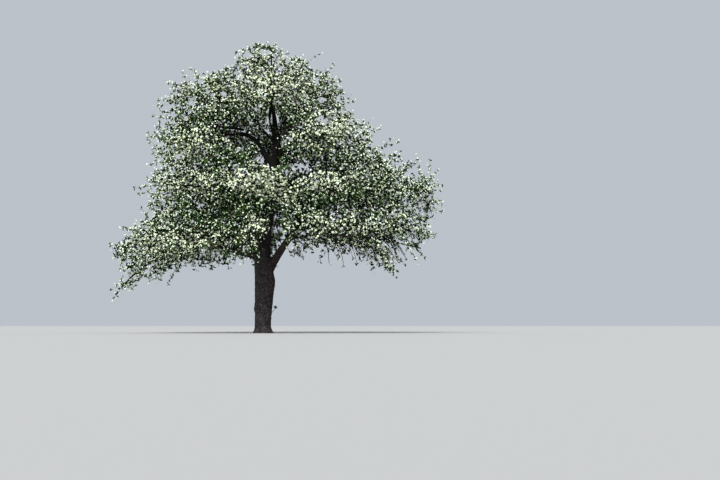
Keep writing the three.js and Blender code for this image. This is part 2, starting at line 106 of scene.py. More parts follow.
CLUMPS = Values(grain=1.15, contrast=1.2, level=0.95)

# How far fine twigs reach left and right of the trunk's foot, by height, and how they thin out there
EDGE = [
    (1.3, 6.1, 5.0), (2.2, 6.35, 5.8), (2.95, 6.35, 6.6), (3.45, 6.2, 7.1),
    (3.9, 5.9, 7.4), (4.4, 5.0, 7.45), (4.7, 4.9, 7.35), (5.1, 4.75, 7.35),
    (6.1, 5.0, 7.25), (6.6, 5.1, 6.8), (7.1, 5.0, 6.6), (7.5, 4.9, 5.2),
    (7.8, 4.85, 4.9), (8.3, 4.7, 4.6), (9.0, 4.4, 4.0), (9.5, 4.4, 3.5),
    (10.0, 3.9, 3.5), (10.4, 2.75, 3.2), (10.8, 1.75, 2.65), (11.2, 1.3, 1.7),
    (11.6, 1.15, 0.5), (11.95, 0.8, 0.1),
]
THINNING = Values(depth=0.08, grain=2.2, uneven=0.1)

# The lowest that fine twigs hang, by the distance right of the trunk, and how they thin out there
UNDERSIDE = [
    (-6.5, 1.5), (-5.3, 1.7), (-4.7, 2.15), (-4.2, 2.7), (-3.4, 3.1), (-2.4, 3.3),
    (-1.7, 3.4), (-0.9, 3.35), (-0.4, 3.1), (0.0, 2.95), (0.3, 3.2), (0.75, 3.75),
    (1.2, 3.7), (1.8, 3.75), (2.3, 3.5), (2.75, 3.15), (3.2, 3.35), (3.9, 3.2),
    (4.3, 3.15), (4.8, 2.8), (5.2, 2.65), (5.6, 3.05), (6.0, 3.45), (6.4, 3.7),
    (7.4, 3.9),
]
HANGING = Values(depth=0.9, grain=1.6, uneven=0.35)
COARSE_INSIDE = 0.5
TRIES = 12

# Short twigs along the boughs
BOUGH_TWIGS = Values(
    first=0.22, last=0.98, every=0.1, length=(0.3, 0.75), onward=0.5, up=0.25, base=0.009, tip=0.004,
)

# Long twigs that weep from the low outer part of the crown, with their blossom wider apart by bare
WEEPING = Values(
    share=0.4, above=3.2, below=5.2, right_of=-2.5, shares=(0.4, 1), each=3, length=(0.9, 2.3), outward=0.75,
    down=0.75, stray=0.12, beyond=0.4, thick=(0.25, 0.8), base=0.018, tip=0.008, level=7, bare=3.2,
)

# Fine shoots that stand out of the crown's edge
SHOOTS = Values(
    share=0.78, below=3.9, thick=0.9, chance=0.55, length=(0.15, 0.5), outward=0.7, up=0.45, down=0.6,
    stray=0.25, taper=0.6,
)

# The box that no shoot may leave, by its middle and half its size
FURTHEST = np.array([(0.6, 0.0, 6.0), (6.8, 6.2, 5.8)])

# The steps that spread numbers evenly, along a line and through a space
GOLDEN = 0.6180339887
SPREAD = np.array([0.8191725134, 0.6710436067, 0.5497004779])

# Patches seen from the front, by right, height, half width and half height. Where the sky shows through:
SKY_GAPS = [
    (0.14, 8.3, 0.24, 0.3), (1.05, 8.05, 0.3, 0.38), (-0.4, 7.3, 0.3, 0.19),
    (-0.6, 8.1, 0.22, 0.16), (-1.35, 6.7, 0.3, 0.18), (1.75, 6.15, 0.36, 0.26),
    (0.7, 4.4, 0.3, 0.3), (0.5, 3.3, 0.25, 0.5), (0.74, 3.85, 0.3, 0.45),
]
RAGGED = Values(rim=0.75, uneven=0.6, grain=2.5)

# Where the limbs show through, and the share of the blossom left there
CLEARINGS = [
    (-0.35, 7.85, 1.15, 0.6, 0.08), (0.5, 7.9, 0.8, 0.75, 0.35), (0.75, 6.8, 0.9, 0.45, 0.5),
    (0.42, 7.7, 0.4, 1.3, 0.08), (2.4, 6.5, 1.1, 0.4, 0.35),
]

# Where blossom stands thicker or thinner, by a factor, which also deals the petals' tints: painted shade
# where it is low, cream where it is high
BLOOM = [
    (0.6, 9.7, 1.7, 0.6, 1.5), (-3.0, 8.4, 1.3, 0.6, 0.75), (2.9, 8.3, 1.2, 0.5, 1.5),
    (0.2, 11.0, 1.5, 0.8, 1.25), (0.3, 9.6, 0.7, 0.6, 1.5), (3.0, 7.9, 0.9, 0.5, 1.3),
    (1.9, 7.4, 0.6, 0.4, 1.4), (-2.2, 5.4, 0.7, 0.5, 1.3), (-3.6, 3.4, 1.6, 0.45, 1.35),
    (-2.6, 9.9, 1.2, 0.6, 1.3), (-2.6, 7.4, 1.0, 0.5, 1.5), (-1.0, 6.6, 1.0, 0.4, 0.7),
    (0.2, 4.15, 0.5, 0.4, 1.8), (-1.1, 7.6, 1.2, 0.5, 1.3), (0.5, 6.6, 2.9, 0.45, 0.5),
    (-0.2, 6.0, 0.9, 0.75, 2.2), (0.9, 5.5, 0.9, 0.45, 1.9), (2.6, 5.85, 0.8, 0.4, 1.8),
    (-2.8, 5.9, 1.4, 0.5, 1.6), (-1.5, 4.85, 2.7, 0.6, 0.7), (-1.5, 4.15, 1.3, 0.4, 0.65),
    (-1.8, 3.5, 1.4, 0.3, 1.4), (3.2, 5.0, 2.4, 0.45, 0.8), (3.4, 4.05, 1.7, 0.4, 1.7),
    (3.9, 3.2, 2.2, 0.5, 1.25),
]

# Where twigs stand more thinly, so that the sky shows between them
THIN = [
    (4.1, 3.45, 2.4, 0.75, 0.12), (6.1, 6.7, 0.9, 0.5, 0.35), (-5.4, 2.9, 1.5, 1.1, 0.65),
    (2.3, 3.3, 1.1, 0.5, 0.3),
]

# Where more shoots stand out of the edge, and longer ones
SHOOTING = [
    (-4.6, 6.75, 1.3, 0.85, 2.0), (5.0, 7.5, 0.8, 0.6, 2.2), (3.6, 9.0, 0.7, 0.6, 1.6),
    (1.8, 10.7, 0.6, 0.5, 1.5),
]


def along(azimuth, slope):
    """The direction at an azimuth from the right and a slope above the level, in degrees."""
    level = math.cos(math.radians(slope))
    turn = math.radians(azimuth)
    return np.array([math.cos(turn) * level, math.sin(turn) * level, math.sin(math.radians(slope))])


def upward(length):
    return np.array([0, 0, length])


def place_at(azimuth, distance, height):
    return along(azimuth, 0) * distance + upward(height)


def unit(vectors):
    return vectors / np.linalg.norm(vectors, axis=-1, keepdims=True)


def outward_at(point):
    return unit(point * np.array([1, 1, 0]))


def seeded(seed):
    """Repeatable numbers from 0 to 1, the same as the solids use."""
    state = seed
    while True:
        state = (state * 1664525 + 1013904223) % 4294967296
        yield state / 4294967296


def read(table, column, height):
    """A column of a table, read at heights between its rows."""
    rows = np.array(table)
    return np.interp(height, rows[:, 0], rows[:, column])


def crown_shares(points, table=EDGE):
    """How far out each point lies: 0 over the trunk's foot, 1 on the crown's edge."""
    left, right = read(table, 1, points[:, 2]), read(table, 2, points[:, 2])
    side = np.where(points[:, 0] > 0, right, left)
    return np.hypot(points[:, 0] / side, points[:, 1] / (DEPTH_SHARE * (left + right) / 2))


# Curves
def through(points, t):
    """Points at shares t of the smooth curve through the given points."""
    last = len(points) - 1
    padded = np.vstack([2 * points[0] - points[1], points, 2 * points[-1] - points[-2]])
    at = np.clip(np.asarray(t) * last, 0, last)
    i = np.minimum(at.astype(int), last - 1)
    w = (at - i)[:, None]
    before, start, end, after = (padded[i + k] for k in range(4))
    leaving = (end - before) / 2
    arriving = (after - start) / 2
    cubic = 2 * (start - end) + leaving + arriving
    square = 3 * (end - start) - 2 * leaving - arriving
    return start + leaving * w + square * w**2 + cubic * w**3


class Limb:
    """A bough or the trunk: a smooth curve through a few points, thinner towards its tip."""

    def __init__(self, name, points, base=None):
        self.name = name
        self.points = points
        self.line = through(points, np.linspace(0, 1, SAMPLES))
        walked = np.cumsum(np.linalg.norm(np.diff(self.line, axis=0), axis=1))
        self.length = walked[-1]
        self.walked = np.concatenate([[0], walked]) / self.length
        self.thick = base or LIMB.tip + LIMB.taper * self.length

    def at(self, t):
        return through(self.points, [t])[0]

    def heading(self, t):
        ends = through(self.points, [max(t - 1e-4, 0), min(t + 1e-4, 1)])
        return unit(ends[1] - ends[0])

    def radius(self, t):
        collar = 1 + LIMB.collar * np.exp(-t * self.length / 0.18)
        return (self.thick + (LIMB.tip - self.thick) * t**0.85) * collar

    def even(self, count):
        """count + 1 points along the limb, evenly spaced, and their shares of its length."""
        shares = np.linspace(0, 1, count + 1)
        raw = np.interp(shares, self.walked, np.linspace(0, 1, SAMPLES))
        return through(self.points, raw), shares


class Trunk(Limb):
    def __init__(self):
        stations = np.array(TRUNK)
        super().__init__("trunk", stations[:, [1, 2, 0]])

    def radius(self, t):
        heights = np.interp(t, self.walked, self.line[:, 2])
        return self.girth(heights, 0)

    def girth(self, height, angle):
        foot = np.exp(-np.maximum(height, 0) / FLARE.height)
        lobes = 1 + FLARE.lobe * foot * np.cos(FLARE.lobes * angle)
        return (read(TRUNK, 3, height) + FLARE.reach * foot) * lobes

    def at_height(self, height):
        share = np.interp(height, self.line[:, 2], np.linspace(0, 1, SAMPLES))
        return self.at(share)


trunk = Trunk()
limbs = []
masses = []


# Masses and boughs
class Mass:
    """The tilted rounded box in which a mass of foliage grows, and the limb or place that bears it."""

    def __init__(self, name, centre, azimuth, tilt, depth, width, tall):
        self.name = name
        self.centre = centre
        self.azimuth = azimuth
        outward = along(azimuth, tilt)
        sideways = along(azimuth + 90, 0)
        self.axes = np.array([outward, sideways, np.cross(outward, sideways)])
        self.radii = np.array([depth, width, tall]) / 2
        self.size = (depth * width * tall / 8) ** (1 / 3)
        self.bearer = None
        self.leave = None


def tier_mass(tier, index):
    """One mass of a ring, set so that it just reaches the crown's edge."""
    azimuth = tier.turn + index * 360 / tier.count
    bottom = tier.bottom - tier.sag * math.cos(math.radians(azimuth)) ** 2
    height = (bottom + tier.top) / 2
    reach = 1 / crown_shares(place_at(azimuth, 1, height)[None], PROFILE)[0]
    distance = reach - tier.depth / 2
    width = OVERLAP * 2 * math.pi * max(distance, tier.depth * 0.72) / tier.count
    tall = OVERLAP * (tier.top - bottom)
    centre = place_at(azimuth, distance, height)
    return Mass(f"{tier.name}_{index + 1}", centre, azimuth, tier.tilt, tier.depth, width, tall)


def route(start, leaving, end, arriving, random):
    """The points of a crooked bough that leaves in one direction and arrives in another."""
    span = np.linalg.norm(end - start)
    t = np.linspace(0, 1, 6)[:, None]
    first = start + leaving * span * 0.4
    second = end - arriving * span * 0.35
    points = (1 - t) ** 3 * start + 3 * t * (1 - t) ** 2 * first + 3 * t**2 * (1 - t) * second + t**3 * end
    for i in range(1, 5):
        offset = np.array([next(random) - 0.5 for _ in range(3)])
        points[i] += offset * 2 * LIMB.crook * span
    return points


def bear(mass, points, base=None):
    """Adds a mass and the bough that reaches it."""
    limb = Limb(f"bough_{mass.name}", points, base)
    limbs.append(limb)
    mass.bearer = limb
    masses.append(mass)
    return limb


def grow_bough(mass, start, leaving, arrive, base=None):
    arriving = along(mass.azimuth, arrive)
    end = mass.centre - arriving * 0.86 * mass.radii[0]
    return bear(mass, route(start, leaving, end, arriving, seeded(97 + len(limbs) * 7919)), base)


def grow_boughs():
    """Adds the fork's leg, then ring by ring the boughs on it, on the trunk, or on the bough before."""
    fork_mass = tier_mass(TIERS[1], 0)
    leaving = along(FORK.azimuth, FORK.rise)
    fork = grow_bough(fork_mass, trunk.at_height(FORK.height), leaving, TIERS[1].arrive, FORK.radius)
    fork_shares = iter(FORK.shares)
    for tier in TIERS:
        partner = None
        for index in range(tier.count):
            mass = tier_mass(tier, index)
            if mass.name == fork_mass.name:
                continue
            facing = math.cos(math.radians(mass.azimuth))
            on_fork = tier.bottom < TIERS[2].bottom and facing > FORK.carries
            if on_fork or partner:
                bearer, t = (fork, next(fork_shares)) if on_fork else (partner, PAIR_SHARE)
                start = bearer.at(t)
                leaving = unit(bearer.heading(t) * 0.5 + unit(mass.centre - start))
                grow_bough(mass, start, leaving, tier.arrive)
                partner = partner if on_fork else None
            else:
                level = (index + 1) * GOLDEN % 1
                start = trunk.at_height(tier.leave[0] + (tier.leave[1] - tier.leave[0]) * level)
                limb = grow_bough(mass, start, along(mass.azimuth, tier.rise), tier.arrive, tier.radius)
                partner = limb if tier.paired else None


def grow_low_bough():
    centre = place_at(LOW_MASS.azimuth, LOW_MASS.distance, LOW_MASS.height)
    mass = Mass("low_left", centre, LOW_MASS.azimuth, LOW_MASS.tilt, *LOW_MASS.size)
    end = place_at(LOW.azimuth, LOW.reach, LOW.tip)
    leaving = along(LOW.azimuth, LOW.rise)
    arriving = along(LOW.azimuth, LOW.arrive)
    bear(mass, route(trunk.at_height(LOW.height), leaving, end, arriving, seeded(11)))


def add_trunk_masses():
    for index, (azimuth, distance, height, leave, size) in enumerate(INNER):
        centre = place_at(azimuth, distance, height)
        mass = Mass(f"inner_{index + 1}", centre, azimuth, 20, size, size, size * 0.8)
        mass.leave = trunk.at_height(leave)
        masses.append(mass)
    centre = np.array([CREST.right, CREST.back, CREST.height])
    crest = Mass("crest", centre, 90, 0, CREST.width, CREST.width, CREST.tall)
    crest.bearer = trunk
    masses.append(crest)


grow_boughs()
grow_low_bough()
add_trunk_masses()
for number, mass in enumerate(masses):
    mass.phase = (number + 1) * GOLDEN % 1
CENTRES = np.array([mass.centre for mass in masses])
SIZES = np.array([mass.size for mass in masses])


# The space of each mass
def boxy_length(values):
    """The length of each row where a rounded box is the unit ball."""
    return (np.abs(values) ** SQUARE).sum(axis=-1) ** (1 / SQUARE)


def spread_points(mass, first, count, near, far):
    """Evenly spread points between two shares of a mass's reach."""
    n = np.arange(first, first + count)[:, None]
    u, v, w = ((0.5 + n * SPREAD + mass.phase * np.array([1, 2, 3])) % 1).T
    out = near + (far - near) * np.sqrt(u)
    rise = 2 * v - 1
    level = np.sqrt(1 - rise**2)
    local = np.stack([level * np.cos(2 * np.pi * w), level * np.sin(2 * np.pi * w), rise], axis=1)
    local *= (out / boxy_length(local))[:, None]
    return mass.centre + (local * mass.radii) @ mass.axes


def holds(mass, points, margin):
    """Whether each point lies in the mass and in its own share of the crown, by a margin."""
    offset = points - mass.centre
    boxy = boxy_length(offset @ mass.axes.T / mass.radii)
    own = (offset**2).sum(axis=1) - mass.size**2
    theirs = ((points[:, None] - CENTRES) ** 2).sum(axis=2) - SIZES**2
    apart = np.linalg.norm(CENTRES - mass.centre, axis=1)
    others = apart > 0
    return (boxy <= 1) & (theirs - own[:, None] >= 2 * margin * apart)[:, others].all(axis=1)


def limb_pieces():
    """Straight pieces of the trunk and all boughs: their starts, ends and radii."""
    pieces = []
    for limb in [trunk, *limbs]:
        points, shares = limb.even(28 if limb is trunk else 14)
        radii = limb.radius(shares)
        pieces.append((points[:-1], points[1:], np.maximum(radii[:-1], radii[1:])))
    return [np.concatenate(rows) for rows in zip(*pieces)]


LIMB_STARTS, LIMB_ENDS, LIMB_RADII = limb_pieces()


def clear_of_limbs(points, margin):
    run = LIMB_ENDS - LIMB_STARTS
    offset = points[:, None] - LIMB_STARTS
    t = np.clip((offset * run).sum(axis=2) / (run**2).sum(axis=1), 0, 1)
    distance = np.linalg.norm(offset - t[..., None] * run, axis=2)
    return (distance > LIMB_RADII + margin).all(axis=1)


def noise_at(points, grain, salt):
    """Smooth noise from about -1 to 1, one value a point."""
    shift = Vector((salt, salt * 1.7, salt * 0.6))
    return np.array([noise.noise(Vector(point) * grain + shift) for point in points])


def away_from(points, right, height, half_width, half_height):
    """How far off a patch each point stands: 0 in its middle, 1 on its rim."""
    return ((points[:, 0] - right) / half_width) ** 2 + ((points[:, 2] - height) / half_height) ** 2


def factors(points, patches):
    """The product of the factors of all patches at each point: 1 away from them."""
    made = np.ones(len(points))
    for *patch, factor in patches:
        made *= 1 + (factor - 1) * np.exp(-(away_from(points, *patch) ** 2))
    return made


def in_outline(points):
    """How far inside the ragged outline each point lies: 1 well inside, 0 beyond it."""
    uneven = THINNING.uneven * noise_at(points, THINNING.grain, 7)
    inward = (1 - crown_shares(points) + uneven) / THINNING.depth
    lowest = np.interp(points[:, 0], *np.array(UNDERSIDE).T)
    lowest += HANGING.uneven * noise_at(points, HANGING.grain, 5)
    above = (points[:, 2] - lowest) / HANGING.depth + 0.5
    return np.clip(inward, 0, 1) * np.clip(above, 0, 1)


def thickness(points):
    """How thickly twigs stand at each point, from 0 to 1."""
    clumps = CLUMPS.level + CLUMPS.contrast * noise_at(points, CLUMPS.grain, 3)
    return in_outline(points) * np.clip(clumps, 0, 1) * factors(points, THIN)


def sky_shows(points):
    """Whether each point stands in a gap through which the sky shows."""
    ragged = RAGGED.rim + RAGGED.uneven * noise_at(points, RAGGED.grain, 11)
    return np.any([away_from(points, *gap) < ragged for gap in SKY_GAPS], axis=0)


def bare(points, chance):
    """Whether each point lies in a gap for the sky or, by chance, in a clearing before the limbs."""
    found = sky_shows(points)
    for *patch, left in CLEARINGS:
        found |= (away_from(points, *patch) < 1) & (points[:, 1] < 0) & (chance > left)
    return found


# Twigs: rows of start, bend, end, base, tip and level, each a quadratic curve from start by bend to end
def on_curve(start, bend, end, t):
    return (1 - t) ** 2 * start + 2 * t * (1 - t) * bend + t**2 * end


def columns(rows):
    return [np.array(column) for column in zip(*rows)]


def along_twigs(twigs, shares):
    """The points at the given shares of each twig, with the headings and radii there."""
    start, bend, end, base, tip = (column[:, None] for column in columns(twigs)[:5])
    t = np.array(shares)[:, None]
    headings = unit((1 - t) * (bend - start) + t * (end - bend) + 1e-9)
    return on_curve(start, bend, end, t), headings, base + (tip - base) * t[:, 0]


def stem_of(mass):
    """The curve of a mass's first twig, from what bears it to its far side."""
    start = mass.bearer.at(1) if mass.leave is None else mass.leave
    far = mass.centre + mass.axes[0] * STEM.reach * mass.radii[0]
    heading = along(mass.azimuth, 50) if mass.bearer is None else mass.bearer.heading(1)
    if mass.bearer is trunk:
        far = mass.centre + upward(STEM.reach * mass.radii[2])
        heading = upward(1.0)
    return start, start + heading * np.linalg.norm(far - start) * 0.45, far


def targets_for(mass, first, generation):
    """The places that a generation of twigs reaches for, and whether each is open to it."""
    tries = generation.count * TRIES or int(generation.density * 8 * np.prod(mass.radii))
    points = spread_points(mass, first, tries, generation.near, generation.far)
    good = holds(mass, points, MARGIN + generation.base)
    if generation.count:
        good &= in_outline(points) > COARSE_INSIDE
    else:
        chance = np.arange(len(points)) * GOLDEN % 1
        good &= (thickness(points) > chance) & ~bare(points, chance)
    return points, good


def grow_twigs(mass):
    """The twigs of a mass, oldest first. Each target is reached from the place that costs least."""
    twigs = [(*stem_of(mass), STEM.base, STEM.tip, 0)]
    first = 0
    for level, generation in enumerate(GENERATIONS):
        margin = MARGIN + generation.base
        points, headings, radii = along_twigs(twigs, generation.shares)
        points, headings, radii = points.reshape(-1, 3), headings.reshape(-1, 3), radii.ravel()
        used = np.zeros(len(points), dtype=bool)
        targets, good = targets_for(mass, first, generation)
        wanted = generation.count or len(targets)
        for number, target in enumerate(targets):
            if not wanted or used.all():
                break
            first += 1
            if not good[number]:
                continue
            reach = target - points
            lengths = np.linalg.norm(reach, axis=1)
            turns = (reach * headings).sum(axis=1) / lengths
            cost = lengths * (1 + generation.turn_cost * (1 - turns))
            cost[used] = np.inf
            best = int(cost.argmin())
            length = lengths[best]
            if length > generation.longest:
                continue
            bend = points[best] + unit(headings[best] + reach[best] / length) * length * 0.5
            if target[2] < ARCH_BELOW:
                bend[2] += generation.arch * length
            path = on_curve(points[best], bend, target, np.linspace(0, 1, 7)[:, None])[1:]
            if not (holds(mass, path, margin).all() and clear_of_limbs(path, margin).all()):
                continue
            used[best] = True
            wanted -= 1
            base = min(generation.base, radii[best] * 0.7)
            twigs.append((points[best], bend, target, base, min(generation.tip, base), level + 1))
    return twigs


def add_bough_twigs(twigs, limb, random):
    """Short twigs straight from a bough, so that blossom runs along it too."""
    shares = np.arange(BOUGH_TWIGS.first, BOUGH_TWIGS.last, BOUGH_TWIGS.every / limb.length)
    for number, share in enumerate(shares):
        start = limb.at(share)
        heading = limb.heading(share)
        aside = unit(np.cross(heading, [0, 0, 1]))
        turn = 2 * math.pi * GOLDEN * number
        course = aside * math.cos(turn) + np.cross(aside, heading) * math.sin(turn)
        course = unit(course + heading * BOUGH_TWIGS.onward + upward(BOUGH_TWIGS.up))
        length = random.uniform(*BOUGH_TWIGS.length)
        end = start + course * length
        spot, chance = end[None], random.uniform(0, 1)
        left_out = bare(spot, chance) | (in_outline(spot) < chance) | ~clear_of_limbs(spot, MARGIN * 2)
        if left_out[0]:
            continue
        bend = start + unit(course + heading * 0.3) * length * 0.5
        twigs.append((start, bend, end, BOUGH_TWIGS.base, BOUGH_TWIGS.tip, len(GENERATIONS) - 1))


def add_weeping(twigs, random):
    """Long twigs that hang outward and down from the coarser ones low in the crown."""
    for *curve, _, _, _ in [twig for twig in twigs if 0 < twig[-1] < 4]:
        for t in random.uniform(*WEEPING.shares, WEEPING.each):
            start = on_curve(*curve, t)
            outward = outward_at(start)
            course = outward * WEEPING.outward - upward(WEEPING.down)
            course = unit(course + random.normal(0, WEEPING.stray, 3))
            length = random.uniform(*WEEPING.length)
            end = start + course * length
            bend = start + (outward + course) * length * 0.3
            low = WEEPING.above < start[2] < WEEPING.below and start[0] > WEEPING.right_of
            thick = in_outline(end[None] + upward(WEEPING.beyond))[0] > random.uniform(*WEEPING.thick)
            from_share, to_share = crown_shares(np.array([start, end]))
            if not (low and thick and from_share > WEEPING.share and to_share < 1):
                continue
            if clear_of_limbs(np.array([bend, end]), MARGIN * 2).all() and not sky_shows(end[None])[0]:
                twigs.append((start, bend, end, WEEPING.base, WEEPING.tip, WEEPING.level))


def add_shoots(twigs, random):
    """Lets thin shoots stand out of the ends of fine twigs near the crown's edge."""
    _, bends, ends, _, tips, level = columns(twigs)
    edge = (crown_shares(ends) > SHOOTS.share) | (ends[:, 2] < SHOOTS.below)
    edge &= (level > 2) & (level < WEEPING.level) & (in_outline(ends) < SHOOTS.thick)
    more = factors(ends, SHOOTING)
    for row in np.flatnonzero(edge & (random.uniform(0, 1, len(ends)) < SHOOTS.chance * more)):
        start, base = ends[row], tips[row]
        heading = unit(start - bends[row])
        lift = SHOOTS.up if start[2] > SHOOTS.below else -SHOOTS.down
        course = heading + outward_at(start) * SHOOTS.outward + upward(lift)
        course = unit(course + random.normal(0, SHOOTS.stray, 3))
        length = random.uniform(*SHOOTS.length) * more[row]
        bend = start + unit(heading + course) * length * 0.5
        end = start + course * length
        within = (np.abs(end - FURTHEST[0]) < FURTHEST[1]).all()
        if within and clear_of_limbs(np.array([bend, end]), MARGIN).all():
            twigs.append((start, bend, end, base, base * SHOOTS.taper, len(GENERATIONS) + 1))


# Meshes. A part of one is its vertices and a list of arrays of faces, one row a face.
def add_object(name, data):
    made = bpy.data.objects.new(name, data)
    bpy.context.collection.objects.link(made)
    return made


def add_mesh(name, parts, materials, slots=None):
    """A mesh object from its parts; slots has a material number a face."""
    faces, first = [], 0
    for points, groups in parts:
        faces += [group + first for group in groups]
        first += len(points)
    mesh = bpy.data.meshes.new(name)
    sizes = np.concatenate([np.full(len(group), group.shape[1]) for group in faces])
    corners = np.concatenate([group.ravel() for group in faces])
    vertices = np.vstack([points for points, _ in parts])
    mesh.vertices.add(len(vertices))
    mesh.vertices.foreach_set("co", vertices.astype(np.float32).ravel())
    mesh.loops.add(len(corners))
    mesh.loops.foreach_set("vertex_index", corners.astype(np.int32))
    mesh.polygons.add(len(sizes))
    mesh.polygons.foreach_set("loop_start", (np.cumsum(sizes) - sizes).astype(np.int32))
    for material in materials:
        mesh.materials.append(material)
    if slots is not None:
        mesh.polygons.foreach_set("material_index", slots.astype(np.int32))
    mesh.update(calc_edges=True)
    mesh.validate()
    return add_object(name, mesh)


def aside_of(headings):
    """A direction square to each heading."""
    steep = np.abs(headings[:, 2:]) > 0.9
    return unit(np.cross(headings, np.where(steep, [1.0, 0, 0], [0, 0, 1.0])))


def tubes(vertices):
    """Closed tubes from their vertices, which are tubes by rings by sides by 3."""
    index = np.arange(vertices.size // 3).reshape(vertices.shape[:3])
    after = np.roll(index, -1, axis=2)
    walls = np.stack([index[:, :-1], after[:, :-1], after[:, 1:], index[:, 1:]], axis=-1)
    caps = np.concatenate([index[:, 0, ::-1], index[:, -1]])
    return vertices.reshape(-1, 3), [walls.reshape(-1, 4), caps]


def tubes_along(lines, radii, sides):
    """Round tubes along many lines at once, from tubes by points by 3 and tubes by points."""
    headings = unit(np.gradient(lines, axis=1))
    side = aside_of(headings[:, 0])
    angles = 2 * np.pi * np.arange(sides) / sides
    cos, sin = np.cos(angles)[:, None], np.sin(angles)[:, None]
    vertices = np.empty((*radii.shape, sides, 3))
    for ring in range(radii.shape[1]):
        heading = headings[:, ring]
        side = unit(side - (side * heading).sum(axis=1, keepdims=True) * heading)
        circle = cos * side[:, None] + sin * np.cross(heading, side)[:, None]
        vertices[:, ring] = lines[:, ring, None] + radii[:, ring, None, None] * circle
    return tubes(vertices)


# Blossom and leaves
def frames_about(axes, spins):
    """A turned frame for each axis: rows are its side, its forward and the axis itself."""
    side = aside_of(axes)
    over = np.cross(axes, side)
    cos, sin = np.cos(spins)[:, None], np.sin(spins)[:, None]
    return np.stack([side * cos + over * sin, over * cos - side * sin, axes], axis=1)


def place_copies(template, faces, places, frames, scales):
    """Copies of a small shape, each at its place, in its frame and at its scale."""
    vertices = places[:, None] + scales[:, None, None] * (template @ frames)
    numbers = faces[None] + (np.arange(len(places)) * template.shape[-2])[:, None, None]
    return vertices.reshape(-1, 3), [numbers.reshape(-1, faces.shape[1])]


# A flower, a cluster of flowers, and a leaf
FLOWER = Values(petals=5, radius=0.0275, half_angle=31, cup=0.22)
CLUSTER = Values(flowers=3, dome=0.024, spread=(10, 75))
LEAF = Values(length=0.118, width=0.07, fold=0.25, curl=0.22)


def flower():
    """Petals round a common middle, each a wedge with a wide outer end."""
    turns = 360 * np.arange(FLOWER.petals) / FLOWER.petals
    rim = [along(turn + side * FLOWER.half_angle, 0) for turn in turns for side in (-1, 1)]
    points = np.vstack([np.zeros(3), (np.array(rim) + upward(FLOWER.cup)) * FLOWER.radius])
    return points, np.array([(0, corner, corner + 1) for corner in range(1, len(points), 2)])


def cluster(random):
    """A domed cluster of flowers about the origin, facing +Z."""
    petals, faces = flower()
    count = CLUSTER.flowers
    turns = 360 * (np.arange(count) + random.uniform(0, 0.6, count)) / count
    slopes = random.uniform(*CLUSTER.spread, count)
    headings = np.array([along(turn, slope) for turn, slope in zip(turns, slopes)])
    frames = frames_about(headings, random.uniform(0, 2 * np.pi, count))
    scales = random.uniform(0.85, 1.12, count)
    return place_copies(petals, faces, headings * CLUSTER.dome, frames, scales)


def leaf():
    """A pointed leaf along +Y, folded along its rib: two quads."""
    length, half = LEAF.length, LEAF.width / 2
    fold = half * LEAF.fold * 2
    droop = -length * LEAF.curl
    points = np.array([
        (0, 0, 0),
        (half * 0.9, length * 0.34, fold),
        (half * 0.75, length * 0.68, fold + droop * 0.35),
        (0, length, droop),
        (-half * 0.75, length * 0.68, fold + droop * 0.35),
        (-half * 0.9, length * 0.34, fold),
    ])
    return points, np.array([(0, 1, 2, 3), (0, 3, 4, 5)])


# Where clusters stand along the twigs, how far off them, and which way they face
SPURS = Values(
    every=0.1, from_level=2, stray=1.5, along=0.92, stalk=(0.02, 0.12), thick=0.006,
    spray=3, turned=0.7, onward=0.2, outward=0.3, upward=0.4,
)


def spurs_of(mass, twigs, random):
    """Where blossom stands along the finer twigs of a mass: its roots, places, facings and sprays."""
    found = []
    for row, (start, bend, end, _, _, level) in enumerate(twigs):
        if level < SPURS.from_level:
            continue
        length = np.linalg.norm(end - start)
        every = SPURS.every * (WEEPING.bare if level == WEEPING.level else 1)
        count = max(1, round(length / every))
        back = (np.arange(count) + random.uniform(0, SPURS.stray, count)) / (count + 0.5)
        t = 1 - back * SPURS.along
        t[0] = 1
        points = on_curve(start, bend, end, t[:, None])
        facing = random.normal(0, SPURS.turned, (count, 3)) + unit(end - start) * SPURS.onward
        facing += unit(points - mass.centre) * SPURS.outward + upward(SPURS.upward)
        facing = unit(facing)
        places = points + facing * random.uniform(*SPURS.stalk, (count, 1))
        found.append((points, places, facing, row + np.arange(count) // SPURS.spray / 10))
    roots, places, facings, sprays = (np.concatenate(rows) for rows in zip(*found))
    kept = ~bare(places, random.uniform(0, 1, len(places)))
    return roots[kept], places[kept], facings[kept], sprays[kept]


